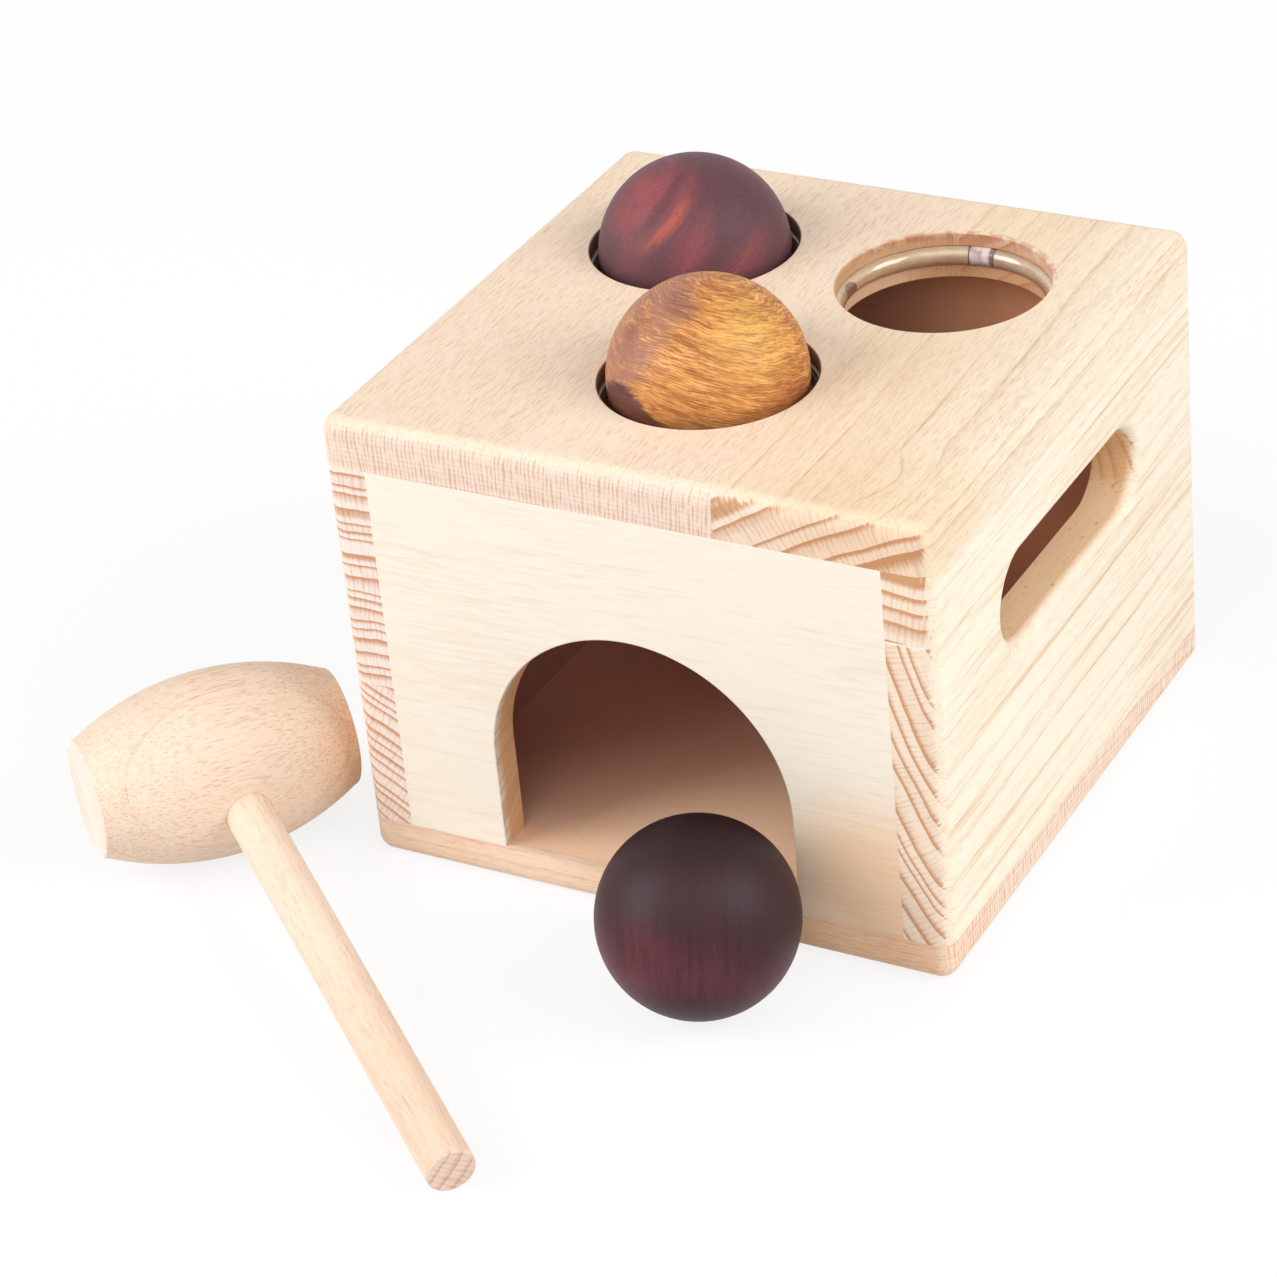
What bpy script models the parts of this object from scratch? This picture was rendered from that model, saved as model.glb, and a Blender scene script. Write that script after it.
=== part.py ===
"""Ball pounding bench: a beech box with three sprung holes, three balls and a mallet.

The origin is the centre of the box's underside, +Z is up and the arch faces -Y.
"""
import math

import bmesh
import bpy
from mathutils import Matrix, Vector

MM = 0.001

# Clearances
GLUE_GAP = 0.15 * MM
OVERRUN = 6 * MM

# Balls
BALL_RADIUS = 22.5 * MM
RED_BALL_LIFT = -1.8 * MM
GOLDEN_BALL_LIFT = 0.1 * MM
LOOSE_BALL_RIGHT = 25.5 * MM
LOOSE_BALL_GAP = 1.8 * MM

# Holes in the top board
BORE_CLEARANCE = 1.95 * MM
BACK_WEB = 14.3 * MM
DIAGONAL_WEB = 16.2 * MM
BACK_PAIR_LEFT = 1.1 * MM
SIDE_MARGIN = 17.2 * MM
FRONT_MARGIN = 21.4 * MM
BACK_MARGIN = 18.1 * MM

# Clear elastic tubes bent to rings in the holes, and the plugs that join their ends
TUBE_RADIUS = 2.4 * MM
TUBE_WALL = 1.0 * MM
TUBE_BALL_CLEARANCE = 0.15 * MM
TUBE_SEAT_CLEARANCE = 0.25 * MM
JOINER_COLLAR_LENGTH = 6.6 * MM
JOINER_SPIGOT_LENGTH = 4.5 * MM
JOINER_CLEARANCE = 0.15 * MM
JOINER_SHOULDER = 0.25 * MM
JOINER_PLACE = math.radians(93)

# Boards
SIDE_THICKNESS = 11.0 * MM
TOP_THICKNESS = 11.5 * MM
BASE_THICKNESS = 9.8 * MM
PANEL_THICKNESS = 8.5 * MM
INNER_HEIGHT = 93.1 * MM
OUTER_ROUND = 4.0 * MM

# Arch in the front panel
ARCH_SIDE_CLEARANCE = 14.65 * MM
ARCH_SPRING_HEIGHT = 25.0 * MM

# Hand holds in the side boards
SLOT_LENGTH = 74.4 * MM
SLOT_HEIGHT = 21.2 * MM
SLOT_BELOW_TOP = 29.4 * MM
SLOT_ROUND = 3.0 * MM

# Mallet
HEAD_LENGTH = 62.3 * MM
HEAD_RADIUS = 21.8 * MM
HEAD_END_RADIUS = 14.2 * MM
HEAD_RIM_ROUND = 1.0 * MM
HANDLE_RADIUS = 5.5 * MM
HANDLE_REACH = 149.3 * MM
HANDLE_PAST_AXIS = 7.0 * MM
HANDLE_OFF_CENTRE = 1.1 * MM
HANDLE_CHAMFER = 0.5 * MM
MALLET_BOX_GAP = 4.6 * MM
MALLET_FORWARD = 9.0 * MM
MALLET_TURN = math.radians(50.7)

# Worked out from the sizes above
BORE_RADIUS = BALL_RADIUS + BORE_CLEARANCE
HOLE_SPACING = 2 * BORE_RADIUS + BACK_WEB
ROW_SPACING = math.sqrt((2 * BORE_RADIUS + DIAGONAL_WEB) ** 2 - (HOLE_SPACING / 2) ** 2)
WIDTH = HOLE_SPACING + 2 * (BORE_RADIUS + SIDE_MARGIN)
DEPTH = FRONT_MARGIN + 2 * BORE_RADIUS + ROW_SPACING + BACK_MARGIN
TOP_UNDERSIDE = BASE_THICKNESS + INNER_HEIGHT
HEIGHT = TOP_UNDERSIDE + TOP_THICKNESS
HALF_WIDTH = WIDTH / 2
HALF_DEPTH = DEPTH / 2
FRONT_ROW = -HALF_DEPTH + FRONT_MARGIN + BORE_RADIUS
BACK_ROW = FRONT_ROW + ROW_SPACING
HOLES = {
    "back_left": (-HOLE_SPACING / 2 - BACK_PAIR_LEFT, BACK_ROW),
    "back_right": (HOLE_SPACING / 2 - BACK_PAIR_LEFT, BACK_ROW),
    "front": (0, FRONT_ROW),
}
RING_RADIUS = BALL_RADIUS + TUBE_BALL_CLEARANCE + TUBE_RADIUS
RING_LEVEL = HEIGHT - TOP_THICKNESS / 2
GROOVE_RADIUS = TUBE_RADIUS + TUBE_SEAT_CLEARANCE
ARCH_HALF_WIDTH = BALL_RADIUS + ARCH_SIDE_CLEARANCE
SLOT_LEVEL = TOP_UNDERSIDE - SLOT_BELOW_TOP

# Fineness of the round shapes
BALL_SEGMENTS = 36
BORE_STEPS = 44
GROOVE_ARC_STEPS = 8
OUTER_ROUND_SEGMENTS = 5
ARCH_SEGMENTS = 72
SLOT_END_STEPS = 12
SLOT_ROUND_STEPS = 4
RING_POINTS = 36
JOINER_POINTS = 4
TUBE_FINENESS = 2
HEAD_STEPS = 36
HEAD_ARC_STEPS = 12
RIM_ARC_STEPS = 3
HANDLE_STEPS = 24

# Colours
BEECH = (0.72, 0.52, 0.36, 1.0)
PALE_BEECH = (0.83, 0.68, 0.50, 1.0)
CLEAR = (0.86, 0.80, 0.72, 0.4)
RED_WOOD = (0.16, 0.045, 0.045, 1.0)
GOLDEN_WOOD = (0.50, 0.23, 0.07, 1.0)
PURPLE_WOOD = (0.07, 0.045, 0.055, 1.0)


def clear_scene():
    """Remove what the file held, so the part is built from nothing."""
    for item in list(bpy.data.objects):
        bpy.data.objects.remove(item, do_unlink=True)
    for collection in list(bpy.data.collections):
        bpy.data.collections.remove(collection)


def make_collection(name):
    collection = bpy.data.collections.new(name)
    bpy.context.scene.collection.children.link(collection)
    return collection


def make_material(name, colour, roughness):
    material = bpy.data.materials.new(name)
    material.use_nodes = True
    shader = material.node_tree.nodes["Principled BSDF"]
    shader.inputs["Base Color"].default_value = colour
    shader.inputs["Roughness"].default_value = roughness
    shader.inputs["Metallic"].default_value = 0
    shader.inputs["Alpha"].default_value = colour[3]
    return material


def add_piece(name, mesh, location, colour, roughness):
    """Put a mesh into the part's collection as one named piece with its own material."""
    piece = bpy.data.objects.new(name, mesh)
    piece.location = location
    mesh.materials.append(make_material(name, colour, roughness))
    PARTS.objects.link(piece)
    return piece


def add_cutter(name, mesh, location):
    """Put a mesh among the cutters, where it shows as wire and leaves the render."""
    cutter = bpy.data.objects.new(name, mesh)
    cutter.location = location
    cutter.display_type = 'WIRE'
    cutter.hide_render = True
    CUTTERS.objects.link(cutter)
    return cutter


def carve(piece, cutter, operation='DIFFERENCE'):
    boolean = piece.modifiers.new(cutter.name, 'BOOLEAN')
    boolean.operation = operation
    boolean.solver = 'EXACT'
    boolean.object = cutter


def mesh_from(bm, name):
    bmesh.ops.recalc_face_normals(bm, faces=bm.faces)
    mesh = bpy.data.meshes.new(name)
    bm.to_mesh(mesh)
    bm.free()
    return mesh


def block_mesh(name, size):
    bm = bmesh.new()
    bmesh.ops.create_cube(bm, size=1)
    bmesh.ops.scale(bm, vec=size, verts=bm.verts)
    return mesh_from(bm, name)


def cylinder_mesh(name, radius, length, segments):
    """A closed cylinder centred on its origin, along Z."""
    bm = bmesh.new()
    bmesh.ops.create_cone(bm, cap_ends=True, segments=segments, radius1=radius, radius2=radius,
                          depth=length)
    return mesh_from(bm, name)


def smooth(mesh):
    mesh.shade_smooth()
    mesh.set_sharp_from_angle(angle=math.radians(30))


def turn_profile(owner, steps):
    """Turn the outline held by an object about its Z axis."""
    screw = owner.modifiers.new("turned", 'SCREW')
    screw.steps = steps
    screw.render_steps = steps
    screw.use_merge_vertices = True
    screw.merge_threshold = 0.01 * MM
    screw.use_smooth_shade = True


def outline_mesh(name, points):
    """A chain of edges through (radius, height) points, running down the outer side."""
    bm = bmesh.new()
    chain = [bm.verts.new((radius, 0, height)) for radius, height in points]
    for first, second in zip(chain, chain[1:]):
        bm.edges.new((first, second))
    mesh = bpy.data.meshes.new(name)
    bm.to_mesh(mesh)
    bm.free()
    return mesh


def arc_points(centre, radius, start, end, steps):
    """Points on an arc, from one angle to another in degrees."""
    points = []
    for step in range(steps + 1):
        angle = math.radians(start + (end - start) * step / steps)
        points.append((centre[0] + radius * math.cos(angle), centre[1] + radius * math.sin(angle)))
    return points


def build_outer_form():
    """The whole box's outer shape, rounded all over: every board is trimmed to it."""
    block = block_mesh("outer_form", (WIDTH, DEPTH, HEIGHT))
    form = add_cutter("outer_form", block, (0, 0, HEIGHT / 2))
    rounding = form.modifiers.new("rounding", 'BEVEL')
    rounding.width = OUTER_ROUND
    rounding.segments = OUTER_ROUND_SEGMENTS
    rounding.limit_method = 'NONE'
    return form


def build_board(name, low, high, colour, outer_form):
    """A board between two corners, trimmed to the box's rounded outer shape."""
    size = [top - bottom for bottom, top in zip(low, high)]
    middle = [(top + bottom) / 2 for bottom, top in zip(low, high)]
    board = add_piece(name, block_mesh(name, size), middle, colour, 0.5)
    carve(board, outer_form, 'INTERSECT')
    return board


def bore_outline():
    """Half the section of a hole: the bore with the round groove that seats the tube."""
    reach = TOP_THICKNESS / 2 + OVERRUN
    rise = math.sqrt(GROOVE_RADIUS ** 2 - (RING_RADIUS - BORE_RADIUS) ** 2)
    opening = math.degrees(math.atan2(rise, BORE_RADIUS - RING_RADIUS))
    groove = arc_points((RING_RADIUS, 0), GROOVE_RADIUS, opening, -opening, GROOVE_ARC_STEPS)
    return [(0, reach), (BORE_RADIUS, reach)] + groove + [(BORE_RADIUS, -reach), (0, -reach)]


def build_top(outer_form):
    low = (-HALF_WIDTH - OVERRUN, -HALF_DEPTH - OVERRUN, TOP_UNDERSIDE)
    high = (HALF_WIDTH + OVERRUN, HALF_DEPTH + OVERRUN, HEIGHT + OVERRUN)
    top = build_board("top_board", low, high, BEECH, outer_form)
    for place, (across, along) in HOLES.items():
        cutter = add_cutter("hole_" + place, outline_mesh("hole_" + place, bore_outline()),
                            (across, along, RING_LEVEL))
        turn_profile(cutter, BORE_STEPS)
        carve(top, cutter)


def build_base(outer_form):
    low = (-HALF_WIDTH - OVERRUN, -HALF_DEPTH - OVERRUN, -OVERRUN)
    high = (HALF_WIDTH + OVERRUN, HALF_DEPTH + OVERRUN, BASE_THICKNESS)
    build_board("base_board", low, high, BEECH, outer_form)


def slot_ring(bm, across, radius):
    """A loop in the shape of the slot, at one place across the board."""
    straight = SLOT_LENGTH / 2 - SLOT_HEIGHT / 2
    loop = []
    for end in (1, -1):
        start = 90 if end < 0 else -90
        for along, up in arc_points((end * straight, 0), radius, start, start + 180, SLOT_END_STEPS):
            loop.append(bm.verts.new((across, along, up)))
    return [bm.edges.new((loop[i - 1], loop[i])) for i in range(len(loop))]


def slot_mesh(name, side):
    """A cutter for the slot, flared at the board's outer face so that its edge is rounded."""
    stations = [(OVERRUN, SLOT_ROUND)]
    for step in range(SLOT_ROUND_STEPS + 1):
        turn = math.pi / 2 * step / SLOT_ROUND_STEPS
        stations.append((SLOT_ROUND * (math.cos(turn) - 1), SLOT_ROUND * (1 - math.sin(turn))))
    stations.append((-SIDE_THICKNESS - OVERRUN, 0))
    bm = bmesh.new()
    rings = [slot_ring(bm, side * across, SLOT_HEIGHT / 2 + flare) for across, flare in stations]
    for first, second in zip(rings, rings[1:]):
        bmesh.ops.bridge_loops(bm, edges=first + second)
    for ring in (rings[0], rings[-1]):
        bmesh.ops.contextual_create(bm, geom=ring)
    return mesh_from(bm, name)


def build_side(name, side, outer_form):
    """A side board with its hand hold: side is 1 for the right and -1 for the left."""
    faces = sorted((side * (HALF_WIDTH - SIDE_THICKNESS), side * (HALF_WIDTH + OVERRUN)))
    low = (faces[0], -HALF_DEPTH - OVERRUN, BASE_THICKNESS + GLUE_GAP)
    high = (faces[1], HALF_DEPTH + OVERRUN, TOP_UNDERSIDE - GLUE_GAP)
    board = build_board(name, low, high, BEECH, outer_form)
    slot = add_cutter("slot_" + name, slot_mesh("slot_" + name, side), (side * HALF_WIDTH, 0, SLOT_LEVEL))
    carve(board, slot)


def build_panel(name, facing, outer_form):
    """A panel between the sides: facing is -1 for the front and 1 for the back."""
    half = HALF_WIDTH - SIDE_THICKNESS - GLUE_GAP
    faces = sorted((facing * (HALF_DEPTH - PANEL_THICKNESS), facing * (HALF_DEPTH + OVERRUN)))
    low = (-half, faces[0], BASE_THICKNESS + GLUE_GAP)
    high = (half, faces[1], TOP_UNDERSIDE - GLUE_GAP)
    return build_board(name, low, high, PALE_BEECH, outer_form)


def build_front(outer_form):
    """The front panel, with the arch cut as a round head over a straight-sided opening."""
    front = build_panel("front_panel", -1, outer_form)
    depth = PANEL_THICKNESS + 2 * OVERRUN
    spring = BASE_THICKNESS + ARCH_SPRING_HEIGHT
    middle = -HALF_DEPTH + PANEL_THICKNESS / 2
    head = add_cutter("arch_head", cylinder_mesh("arch_head", ARCH_HALF_WIDTH, depth, ARCH_SEGMENTS),
                      (0, middle, spring))
    head.rotation_euler.x = math.radians(90)
    legs_height = ARCH_SPRING_HEIGHT + OVERRUN
    legs = add_cutter("arch_legs", block_mesh("arch_legs", (2 * ARCH_HALF_WIDTH, depth, legs_height)),
                      (0, middle, spring - legs_height / 2))
    carve(front, head)
    carve(front, legs)


def bent_tube(name, stations, capped):
    """A round bar along an arc about Z: the stations are (angle, bar radius)."""
    curve = bpy.data.curves.new(name, 'CURVE')
    curve.dimensions = '3D'
    curve.bevel_depth = TUBE_RADIUS
    curve.bevel_resolution = TUBE_FINENESS
    curve.use_fill_caps = capped
    spline = curve.splines.new('POLY')
    spline.points.add(len(stations) - 1)
    for point, (angle, radius) in zip(spline.points, stations):
        point.co = (RING_RADIUS * math.cos(angle), RING_RADIUS * math.sin(angle), 0, 1)
        point.radius = radius / TUBE_RADIUS
    return curve


def build_ring(place, across, along):
    """A clear tube bent to a ring, whose ends stop at the collar of its joiner."""
    half_open = (JOINER_COLLAR_LENGTH / 2 + JOINER_CLEARANCE) / RING_RADIUS
    turn = (2 * math.pi - 2 * half_open) / (RING_POINTS - 1)
    stations = [(JOINER_PLACE + half_open + turn * i, TUBE_RADIUS) for i in range(RING_POINTS)]
    curve = bent_tube("ring_" + place, stations, False)
    ring = add_piece("ring_" + place, curve, (across, along, RING_LEVEL), CLEAR, 0.2)
    wall = ring.modifiers.new("wall", 'SOLIDIFY')
    wall.thickness = TUBE_WALL
    wall.offset = -1


def build_joiner(place, across, along):
    """A plug with a collar as thick as the tube and a spigot into each of the tube's ends."""
    collar = JOINER_COLLAR_LENGTH / 2
    reach = collar + JOINER_SPIGOT_LENGTH
    spigot_radius = TUBE_RADIUS - TUBE_WALL - JOINER_CLEARANCE
    half = [(reach - JOINER_SPIGOT_LENGTH * i / JOINER_POINTS, spigot_radius) for i in range(JOINER_POINTS)]
    half += [(collar, spigot_radius), (collar - JOINER_SHOULDER, TUBE_RADIUS), (collar / 2, TUBE_RADIUS)]
    lengths = half + [(0, TUBE_RADIUS)] + [(-length, radius) for length, radius in reversed(half)]
    stations = [(JOINER_PLACE + length / RING_RADIUS, radius) for length, radius in lengths]
    curve = bent_tube("joiner_" + place, stations, True)
    add_piece("joiner_" + place, curve, (across, along, RING_LEVEL), CLEAR, 0.3)


def build_ball(name, centre, colour):
    bm = bmesh.new()
    bmesh.ops.create_uvsphere(bm, u_segments=BALL_SEGMENTS, v_segments=BALL_SEGMENTS // 2,
                              radius=BALL_RADIUS)
    mesh = mesh_from(bm, name)
    smooth(mesh)
    add_piece(name, mesh, centre, colour, 0.35)


def build_balls():
    """Two balls sit in their holes and one lies on the table in front of the arch."""
    build_ball("ball_red", (*HOLES["back_left"], HEIGHT + RED_BALL_LIFT), RED_WOOD)
    build_ball("ball_golden", (*HOLES["front"], HEIGHT + GOLDEN_BALL_LIFT), GOLDEN_WOOD)
    loose = (LOOSE_BALL_RIGHT, -HALF_DEPTH - LOOSE_BALL_GAP - BALL_RADIUS, BALL_RADIUS)
    build_ball("ball_purple", loose, PURPLE_WOOD)


def head_outline():
    """Half the outline of the barrel: flat ends, rounded rims and one long swelling arc."""
    half = HEAD_LENGTH / 2
    shoulder = half - HEAD_RIM_ROUND
    swell = HEAD_RADIUS - HEAD_END_RADIUS
    bulge_radius = (shoulder ** 2 + swell ** 2) / (2 * swell)
    spread = math.degrees(math.asin(shoulder / bulge_radius))
    rim_centre = HEAD_END_RADIUS - HEAD_RIM_ROUND
    upper_rim = arc_points((rim_centre, shoulder), HEAD_RIM_ROUND, 90, 0, RIM_ARC_STEPS)
    bulge = arc_points((HEAD_RADIUS - bulge_radius, 0), bulge_radius, spread, -spread, HEAD_ARC_STEPS)
    lower_rim = arc_points((rim_centre, -shoulder), HEAD_RIM_ROUND, 0, -90, RIM_ARC_STEPS)
    return [(0, half)] + upper_rim + bulge[1:-1] + lower_rim + [(0, -half)]


def handle_outline():
    """Half the outline of the handle, from its end in the head to its free end, both chamfered."""
    shank = HANDLE_RADIUS - HANDLE_CHAMFER
    inner = HANDLE_PAST_AXIS
    outer = -HANDLE_REACH
    return [(0, inner), (shank, inner), (HANDLE_RADIUS, inner - HANDLE_CHAMFER),
            (HANDLE_RADIUS, outer + HANDLE_CHAMFER), (shank, outer), (0, outer)]


def build_mallet():
    """The mallet lies on its head and on the end of its handle, beside the box.

    The empty stands at the head's centre. Its X axis is the head's and its -Z axis the handle's.
    """
    half_across = HEAD_LENGTH / 2 * math.cos(MALLET_TURN) + HEAD_END_RADIUS * math.sin(MALLET_TURN)
    centre = Vector((-HALF_WIDTH - MALLET_BOX_GAP - half_across, -HALF_DEPTH - MALLET_FORWARD, HEAD_RADIUS))
    slope = math.asin((HEAD_RADIUS - HANDLE_RADIUS) / HANDLE_REACH)
    mallet = bpy.data.objects.new("mallet", None)
    mallet.matrix_world = (Matrix.Translation(centre) @ Matrix.Rotation(MALLET_TURN, 4, 'Z')
                           @ Matrix.Rotation(slope - math.pi / 2, 4, 'X'))
    PARTS.objects.link(mallet)

    head = add_piece("mallet_head", outline_mesh("mallet_head", head_outline()), (0, 0, 0), BEECH, 0.5)
    head.rotation_euler.y = math.radians(90)
    head.parent = mallet
    turn_profile(head, HEAD_STEPS)
    bore_length = HANDLE_PAST_AXIS + GLUE_GAP + HEAD_RADIUS + OVERRUN
    bore = add_cutter("handle_bore", cylinder_mesh("handle_bore", HANDLE_RADIUS + GLUE_GAP, bore_length,
                                                   HANDLE_STEPS),
                      (HANDLE_OFF_CENTRE, 0, HANDLE_PAST_AXIS + GLUE_GAP - bore_length / 2))
    bore.parent = mallet
    carve(head, bore)

    handle = add_piece("mallet_handle", outline_mesh("mallet_handle", handle_outline()),
                       (HANDLE_OFF_CENTRE, 0, 0), BEECH, 0.5)
    handle.parent = mallet
    turn_profile(handle, HANDLE_STEPS)


clear_scene()
PARTS = make_collection("ball_pounding_bench")
CUTTERS = make_collection("cutters")
outer = build_outer_form()
build_base(outer)
build_side("left_side", -1, outer)
build_side("right_side", 1, outer)
build_top(outer)
build_front(outer)
build_panel("back_panel", 1, outer)
for hole, (hole_x, hole_y) in HOLES.items():
    build_ring(hole, hole_x, hole_y)
    build_joiner(hole, hole_x, hole_y)
build_balls()
build_mallet()
bpy.context.view_layer.update()
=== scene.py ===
"""Looks of the ball pounding bench: a glued-up beech box, three turned balls and a mallet."""

import math

import bmesh
import bpy
from mathutils import Matrix, Vector


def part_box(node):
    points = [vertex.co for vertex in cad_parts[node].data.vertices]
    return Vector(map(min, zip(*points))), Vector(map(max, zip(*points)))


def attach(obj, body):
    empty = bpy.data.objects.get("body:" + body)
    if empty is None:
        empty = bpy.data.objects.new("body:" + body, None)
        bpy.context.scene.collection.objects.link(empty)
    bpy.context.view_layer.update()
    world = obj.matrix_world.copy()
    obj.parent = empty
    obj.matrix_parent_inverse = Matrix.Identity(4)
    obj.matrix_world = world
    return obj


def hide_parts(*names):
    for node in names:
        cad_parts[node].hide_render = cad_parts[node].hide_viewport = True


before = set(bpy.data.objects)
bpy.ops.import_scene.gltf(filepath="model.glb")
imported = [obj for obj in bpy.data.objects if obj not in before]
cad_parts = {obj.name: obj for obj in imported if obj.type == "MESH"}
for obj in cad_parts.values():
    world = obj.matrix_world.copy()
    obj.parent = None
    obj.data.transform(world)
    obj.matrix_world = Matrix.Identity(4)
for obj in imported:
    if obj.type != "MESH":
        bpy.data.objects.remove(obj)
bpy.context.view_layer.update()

MM = 0.001

# Boards
BENCH_WIDTH = 146.5 * MM
BENCH_DEPTH = 145.316 * MM
BENCH_HEIGHT = 114.4 * MM
HALF_WIDTH = BENCH_WIDTH / 2
HALF_DEPTH = BENCH_DEPTH / 2
SIDE_THICKNESS = 11.0 * MM
BASE_TOP = 9.8 * MM
TOP_UNDERSIDE = 102.9 * MM
PANEL_THICKNESS = 8.5 * MM
ROUNDED_EDGE = 4.0 * MM
SEAM = 0.004 * MM
OVERRUN = 6.0 * MM

# Holes, with the round groove that seats each elastic tube
HOLE_CENTRES = {
    "back_left": (-32.7 * MM, 30.108 * MM),
    "back_right": (30.5 * MM, 30.108 * MM),
    "front": (0.0, -26.808 * MM),
}
HOLE_RADIUS = 24.45 * MM
HOLE_RIM = 0.45 * MM
RING_RADIUS = 25.05 * MM
RING_LEVEL = 108.65 * MM
GROOVE_RADIUS = 2.65 * MM

# Elastic tubes and their joiners
TUBE_RADIUS = 2.4 * MM
TUBE_BORE = 1.4 * MM
JOINER_PLACE = math.radians(93)
COLLAR_LENGTH = 6.6 * MM
COLLAR_GAP = 0.15 * MM
SPIGOT_LENGTH = 4.5 * MM
SPIGOT_RADIUS = 1.25 * MM
COLLAR_ROUND = 0.45 * MM

# Arch and hand holds
ARCH_RADIUS = 37.15 * MM
ARCH_SPRING = 34.8 * MM
ARCH_EDGE = 0.35 * MM
SLOT_LENGTH = 74.4 * MM
SLOT_HEIGHT = 21.2 * MM
SLOT_LEVEL = 73.5 * MM
SLOT_EDGE = 3.0 * MM

# Mallet
HEAD_LENGTH = 62.24 * MM
HEAD_RADIUS = 21.8 * MM
HEAD_END_RADIUS = 14.2 * MM
HEAD_RIM = 1.0 * MM
HANDLE_RADIUS = 5.5 * MM
HANDLE_REACH = 149.26 * MM
HANDLE_PAST_AXIS = 7.0 * MM
HANDLE_OFF_CENTRE = 1.1 * MM
HANDLE_CHAMFER = 0.5 * MM
HANDLE_FIT = 0.06 * MM
MALLET_BOX_GAP = 4.6 * MM
MALLET_FORWARD = 9.0 * MM
MALLET_TURN = math.radians(50.7)

# Camera, fitted to the photograph, and the light
PHOTO_SIDE = 1277
FOCAL_LENGTH = 4259.34
SENSOR_WIDTH = 36.0
CAMERA_ANGLES = (30.93, 31.41, -5.75)
CAMERA_TARGET = (-40.46 * MM, 0.0, 22.28 * MM)
CAMERA_DISTANCE = 1015.52 * MM
AMBIENT = 0.25
LIGHTS = [
    ("window_left", (-0.66, -0.55, 0.51), 2.6, 1.6, 0.67),
    ("window_right", (0.82, 0.05, 0.57), 2.6, 1.6, 0.59),
    ("fill_front", (0.30, -0.58, 0.757), 3.0, 2.4, 0.31),
]
FLOOR_DROP = 0.05 * MM
FLOOR_SIZE = 12.0
SHARP_ANGLE = math.radians(32)


# ---------------------------------------------------------------- shaping

def mesh_from(bm, name):
    bmesh.ops.recalc_face_normals(bm, faces=bm.faces)
    mesh = bpy.data.meshes.new(name)
    bm.to_mesh(mesh)
    bm.free()
    return mesh


def arc(centre, radius, start, end, steps):
    """Points on an arc, from one angle to another in degrees."""
    angles = [math.radians(start + (end - start) * step / steps) for step in range(steps + 1)]
    return [(centre[0] + radius * math.cos(a), centre[1] + radius * math.sin(a)) for a in angles]


def rounded_box():
    """The whole box as one block, every edge and corner sanded round."""
    bm = bmesh.new()
    bmesh.ops.create_cube(bm, size=1)
    bmesh.ops.scale(bm, vec=(BENCH_WIDTH, BENCH_DEPTH, BENCH_HEIGHT), verts=bm.verts)
    bmesh.ops.translate(bm, vec=(0, 0, BENCH_HEIGHT / 2), verts=bm.verts)
    bmesh.ops.bevel(bm, geom=bm.edges[:], offset=ROUNDED_EDGE, offset_type='OFFSET', segments=12,
                    profile=0.5, affect='EDGES', clamp_overlap=False)
    return bm


def board(name, low=(None,) * 3, high=(None,) * 3):
    """The part of the rounded box between two corners; None leaves a side as the box has it."""
    bm = rounded_box()
    for axis in range(3):
        for limit, sign in ((low[axis], -1), (high[axis], 1)):
            if limit is None:
                continue
            outward = Vector((0, 0, 0))
            outward[axis] = sign
            point = Vector((0, 0, 0))
            point[axis] = limit
            geometry = bm.verts[:] + bm.edges[:] + bm.faces[:]
            cut = bmesh.ops.bisect_plane(bm, geom=geometry, plane_co=point, plane_no=outward,
                                         clear_outer=True)
            rim = [item for item in cut["geom_cut"] if isinstance(item, bmesh.types.BMEdge)]
            bmesh.ops.contextual_create(bm, geom=rim)
    return mesh_from(bm, name)


def turned(name, outline, steps):
    """A solid turned about Z from half its outline, which runs from axis to axis."""
    bm = bmesh.new()
    rows = []
    for radius, height in outline:
        if radius == 0:
            rows.append([bm.verts.new((0, 0, height))])
            continue
        turns = [2 * math.pi * step / steps for step in range(steps)]
        rows.append([bm.verts.new((radius * math.cos(t), radius * math.sin(t), height))
                     for t in turns])
    for upper, lower in zip(rows, rows[1:]):
        for step in range(steps):
            after = (step + 1) % steps
            corners = [upper[step % len(upper)], upper[after % len(upper)],
                       lower[after % len(lower)], lower[step % len(lower)]]
            bm.faces.new(list(dict.fromkeys(corners)))
    return mesh_from(bm, name)


def lofted(name, loops, endless=False):
    """A solid through loops of as many points each, capped or running back into its first loop."""
    bm = bmesh.new()
    rows = [[bm.verts.new(point) for point in loop] for loop in loops]
    for first, second in zip(rows, rows[1:] + (rows[:1] if endless else [])):
        for i in range(len(first)):
            bm.faces.new((first[i - 1], first[i], second[i], second[i - 1]))
    if not endless:
        bm.faces.new(rows[0])
        bm.faces.new(rows[-1])
    return mesh_from(bm, name)


def carved(mesh, *cutters):
    """The mesh with each of the cutter meshes taken away."""
    blank = bpy.data.objects.new(mesh.name, mesh)
    bpy.context.scene.collection.objects.link(blank)
    tools = []
    for cutter in cutters:
        tool = bpy.data.objects.new("cutter", cutter)
        bpy.context.scene.collection.objects.link(tool)
        tools.append(tool)
        boolean = blank.modifiers.new("cut", 'BOOLEAN')
        boolean.object = tool
        boolean.solver = 'EXACT'
    shown = blank.evaluated_get(bpy.context.evaluated_depsgraph_get())
    result = bpy.data.meshes.new_from_object(shown)
    for item in [blank, *tools]:
        bpy.data.objects.remove(item)
    return result


def easing(edge, thickness, steps):
    """Stations (depth, flare) of a cutter that rounds the edge where it enters a board."""
    stations = [(-OVERRUN, edge)]
    for step in range(steps + 1):
        turn = math.pi / 2 * step / steps
        stations.append((edge * (1 - math.cos(turn)), edge * (1 - math.sin(turn))))
    stations.append((thickness + OVERRUN, 0.0))
    return stations


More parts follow.
